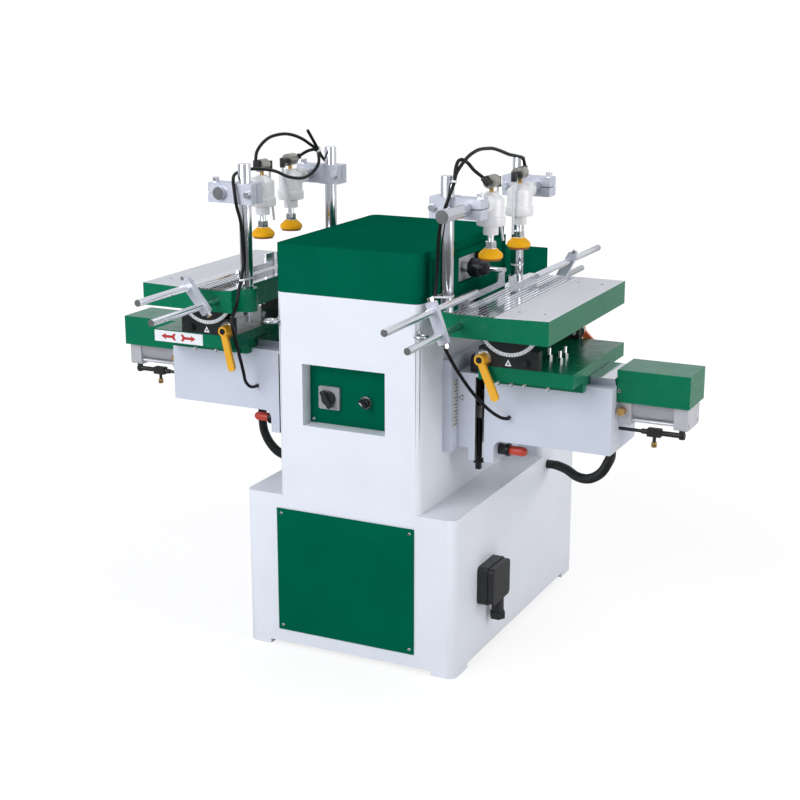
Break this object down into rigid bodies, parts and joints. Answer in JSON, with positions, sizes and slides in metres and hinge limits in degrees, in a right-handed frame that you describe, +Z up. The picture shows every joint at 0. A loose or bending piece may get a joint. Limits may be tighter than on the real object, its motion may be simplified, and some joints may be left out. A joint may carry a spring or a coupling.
{
  "type": "tenoning machine",
  "caption": "Double-ended tenoning machine: white cabinet with a green spindle hood, and at each end a lifting, feeding, tilting table with air hold-downs and stop rods.",
  "frame": {"origin": "on the floor at the centre of the anchor holes", "axes": "+X to the right along the front, +Y to the back, +Z up"},
  "size_m": [1.508, 1.199, 1.226],
  "materials": {
    "white_paint": "semi-gloss",
    "green_paint": "semi-gloss",
    "black_paint": "semi-gloss",
    "yellow_paint": "semi-gloss",
    "steel": "brushed",
    "dark_steel": "blackened",
    "aluminium": "satin",
    "black_plastic": "matte",
    "red_plastic": "gloss",
    "orange_plastic": "gloss",
    "black_rubber": "matte"
  },
  "bodies": {
    "cabinet": {"cabinet": "white_paint", "hood": "green_paint", "rear_cover": "green_paint", "lower_panel": "green_paint", "control_panel": "green_paint", "fasteners": "steel", "vertical_ways": "white_paint", "inlet_box": "black_plastic", "swing_drive": "steel"},
    "spindle_motor": {"spindle_motor": "aluminium"},
    "spindle": {"spindle": "dark_steel"},
    "swing_crank": {"swing_crank": "steel"},
    "power_knob": {"power_knob": "black_plastic"},
    "selector_knob": {"selector_knob": "black_plastic"},
    "right_knee": {"right_knee": "white_paint", "right_feed_cylinder": "aluminium", "right_cylinder_cover": "green_paint", "right_hose": "black_rubber"},
    "right_saddle": {"right_saddle": "green_paint", "right_tilt_bracket": "black_paint", "right_feed_rod": "steel"},
    "right_table": {"right_table": "green_paint", "right_tilt_segment": "black_paint", "right_clamp_posts": "steel", "right_cross_clamps": "aluminium", "right_hold_down_cylinders": "aluminium", "right_air_tubes": "black_rubber"},
    "right_lift_screw": {"right_lift_screw": "black_plastic"},
    "right_lift_lock": {"right_lift_lock": "red_plastic"},
    "right_lock_lever": {"right_lock_lever": "yellow_paint"},
    "right_rear_lock_lever": {"right_rear_lock_lever": "orange_plastic"},
    "right_front_pad": {"right_front_pad": "orange_plastic"},
    "right_rear_pad": {"right_rear_pad": "orange_plastic"},
    "right_front_stop_arm": {"right_front_stop_arm": "steel"},
    "right_front_stop_rod": {"right_front_stop_rod": "steel"},
    "right_rear_stop_arm": {"right_rear_stop_arm": "steel"},
    "right_rear_stop_rod": {"right_rear_stop_rod": "steel"},
    "left_knee": {"left_knee": "white_paint", "left_feed_cylinder": "aluminium", "left_cylinder_cover": "green_paint", "left_hose": "black_rubber"},
    "left_saddle": {"left_saddle": "green_paint", "left_tilt_bracket": "black_paint", "left_feed_rod": "steel"},
    "left_table": {"left_table": "green_paint", "left_tilt_segment": "black_paint", "left_clamp_posts": "steel", "left_cross_clamps": "aluminium", "left_hold_down_cylinders": "aluminium", "left_air_tubes": "black_rubber"},
    "left_lift_screw": {"left_lift_screw": "black_plastic"},
    "left_lift_lock": {"left_lift_lock": "red_plastic"},
    "left_lock_lever": {"left_lock_lever": "yellow_paint"},
    "left_rear_lock_lever": {"left_rear_lock_lever": "orange_plastic"},
    "left_front_pad": {"left_front_pad": "orange_plastic"},
    "left_rear_pad": {"left_rear_pad": "orange_plastic"},
    "left_front_stop_arm": {"left_front_stop_arm": "steel"},
    "left_front_stop_rod": {"left_front_stop_rod": "steel"},
    "left_rear_stop_arm": {"left_rear_stop_arm": "steel"},
    "left_rear_stop_rod": {"left_rear_stop_rod": "steel"}
  },
  "joints": [
    {"name": "spindle_swing", "type": "slide", "parent": "cabinet", "child": "spindle_motor", "axis": [0, 1, 0], "range_m": [-0.0287, 0.0287]},
    {"name": "swing_crank_turn", "type": "hinge", "parent": "cabinet", "child": "swing_crank", "pos_m": [0, -0.149, 0.81], "axis": [0, 0, 1], "range_deg": [-35.2, 35.2]},
    {"name": "spindle_spin", "type": "hinge", "parent": "spindle_motor", "child": "spindle", "pos_m": [0, -0.149, 0.933], "axis": [1, 0, 0], "continuous": true},
    {"name": "power_switch", "type": "hinge", "parent": "cabinet", "child": "power_knob", "pos_m": [-0.062, -0.37, 0.638], "axis": [0, -1, 0], "range_deg": [-60, 60]},
    {"name": "mode_selector", "type": "hinge", "parent": "cabinet", "child": "selector_knob", "pos_m": [0.034, -0.37, 0.638], "axis": [0, -1, 0], "range_deg": [-45, 45]},
    {"name": "right_lift", "type": "slide", "parent": "cabinet", "child": "right_knee", "axis": [0, 0, 1], "range_m": [-0.04, 0.02], "deforming": ["right_hose"]},
    {"name": "right_lift_screw_turn", "type": "hinge", "parent": "right_knee", "child": "right_lift_screw", "pos_m": [0.249, -0.205, 0.6], "axis": [0, 0, 1], "range_deg": [-2881, 1441]},
    {"name": "right_lift_lock_turn", "type": "hinge", "parent": "right_knee", "child": "right_lift_lock", "pos_m": [0.31, -0.199, 0.515], "axis": [1, 0, 0], "range_deg": [0, 90]},
    {"name": "right_feed", "type": "slide", "parent": "right_knee", "child": "right_saddle", "axis": [1, 0, 0], "range_m": [0, 0.054], "deforming": ["right_air_tubes"]},
    {"name": "right_lock_lever_turn", "type": "hinge", "parent": "right_saddle", "child": "right_lock_lever", "pos_m": [0.309, -0.339, 0.764], "axis": [0, -1, 0], "range_deg": [-15, 60]},
    {"name": "right_rear_lock_lever_turn", "type": "hinge", "parent": "right_saddle", "child": "right_rear_lock_lever", "pos_m": [0.4055, 0.041, 0.764], "axis": [0, 1, 0], "range_deg": [0, 60]},
    {"name": "right_tilt", "type": "hinge", "parent": "right_saddle", "child": "right_table", "pos_m": [0.3695, -0.149, 0.85], "axis": [0, 1, 0], "range_deg": [-5, 15], "deforming": ["right_air_tubes"]},
    {"name": "right_front_clamp", "type": "slide", "parent": "right_table", "child": "right_front_pad", "axis": [0, 0, -1], "range_m": [0, 0.036], "stiffness_N_per_m": 600, "springref_m": -0.03},
    {"name": "right_rear_clamp", "type": "slide", "parent": "right_table", "child": "right_rear_pad", "axis": [0, 0, -1], "range_m": [0, 0.036], "stiffness_N_per_m": 600, "springref_m": -0.03},
    {"name": "right_front_stop_swing", "type": "hinge", "parent": "right_table", "child": "right_front_stop_arm", "pos_m": [0.287, -0.149, 0.851], "axis": [0, 1, 0], "range_deg": [-6, 24]},
    {"name": "right_front_stop_slide", "type": "slide", "parent": "right_front_stop_arm", "child": "right_front_stop_rod", "axis": [0, 1, 0], "range_m": [-0.06, 0.06]},
    {"name": "right_rear_stop_swing", "type": "hinge", "parent": "right_table", "child": "right_rear_stop_arm", "pos_m": [0.287, -0.149, 0.851], "axis": [0, 1, 0], "range_deg": [-25, 9]},
    {"name": "right_rear_stop_slide", "type": "slide", "parent": "right_rear_stop_arm", "child": "right_rear_stop_rod", "axis": [0, 1, 0], "range_m": [-0.02, 0.06]},
    {"name": "left_lift", "type": "slide", "parent": "cabinet", "child": "left_knee", "axis": [0, 0, 1], "range_m": [-0.04, 0.02], "deforming": ["left_hose"]},
    {"name": "left_lift_screw_turn", "type": "hinge", "parent": "left_knee", "child": "left_lift_screw", "pos_m": [-0.249, -0.205, 0.6], "axis": [0, 0, 1], "range_deg": [-2881, 1441]},
    {"name": "left_lift_lock_turn", "type": "hinge", "parent": "left_knee", "child": "left_lift_lock", "pos_m": [-0.31, -0.199, 0.515], "axis": [-1, 0, 0], "range_deg": [0, 90]},
    {"name": "left_feed", "type": "slide", "parent": "left_knee", "child": "left_saddle", "axis": [1, 0, 0], "range_m": [0, 0.054], "deforming": ["left_air_tubes"]},
    {"name": "left_lock_lever_turn", "type": "hinge", "parent": "left_saddle", "child": "left_lock_lever", "pos_m": [-0.363, -0.339, 0.764], "axis": [0, 1, 0], "range_deg": [-15, 60]},
    {"name": "left_rear_lock_lever_turn", "type": "hinge", "parent": "left_saddle", "child": "left_rear_lock_lever", "pos_m": [-0.4595, 0.041, 0.764], "axis": [0, -1, 0], "range_deg": [0, 60]},
    {"name": "left_tilt", "type": "hinge", "parent": "left_saddle", "child": "left_table", "pos_m": [-0.4235, -0.149, 0.85], "axis": [0, 1, 0], "range_deg": [-15, 5], "deforming": ["left_air_tubes"]},
    {"name": "left_front_clamp", "type": "slide", "parent": "left_table", "child": "left_front_pad", "axis": [0, 0, -1], "range_m": [0, 0.036], "stiffness_N_per_m": 600, "springref_m": -0.03},
    {"name": "left_rear_clamp", "type": "slide", "parent": "left_table", "child": "left_rear_pad", "axis": [0, 0, -1], "range_m": [0, 0.036], "stiffness_N_per_m": 600, "springref_m": -0.03},
    {"name": "left_front_stop_swing", "type": "hinge", "parent": "left_table", "child": "left_front_stop_arm", "pos_m": [-0.341, -0.149, 0.851], "axis": [0, -1, 0], "range_deg": [-40, 5]},
    {"name": "left_front_stop_slide", "type": "slide", "parent": "left_front_stop_arm", "child": "left_front_stop_rod", "axis": [0, 1, 0], "range_m": [-0.06, 0.01]},
    {"name": "left_rear_stop_swing", "type": "hinge", "parent": "left_table", "child": "left_rear_stop_arm", "pos_m": [-0.341, -0.149, 0.851], "axis": [0, -1, 0], "range_deg": [-25, 9]},
    {"name": "left_rear_stop_slide", "type": "slide", "parent": "left_rear_stop_arm", "child": "left_rear_stop_rod", "axis": [0, 1, 0], "range_m": [-0.02, 0.06]}
  ],
  "couplings": [
    {"joint": "swing_crank_turn", "follows": "spindle_swing", "rad_per_m": 21.29},
    {"joint": "right_lift_screw_turn", "follows": "right_lift", "rad_per_m": 1256.6},
    {"joint": "right_rear_clamp", "follows": "right_front_clamp", "ratio": 1},
    {"joint": "left_lift_screw_turn", "follows": "left_lift", "rad_per_m": 1256.6},
    {"joint": "left_rear_clamp", "follows": "left_front_clamp", "ratio": 1}
  ]
}
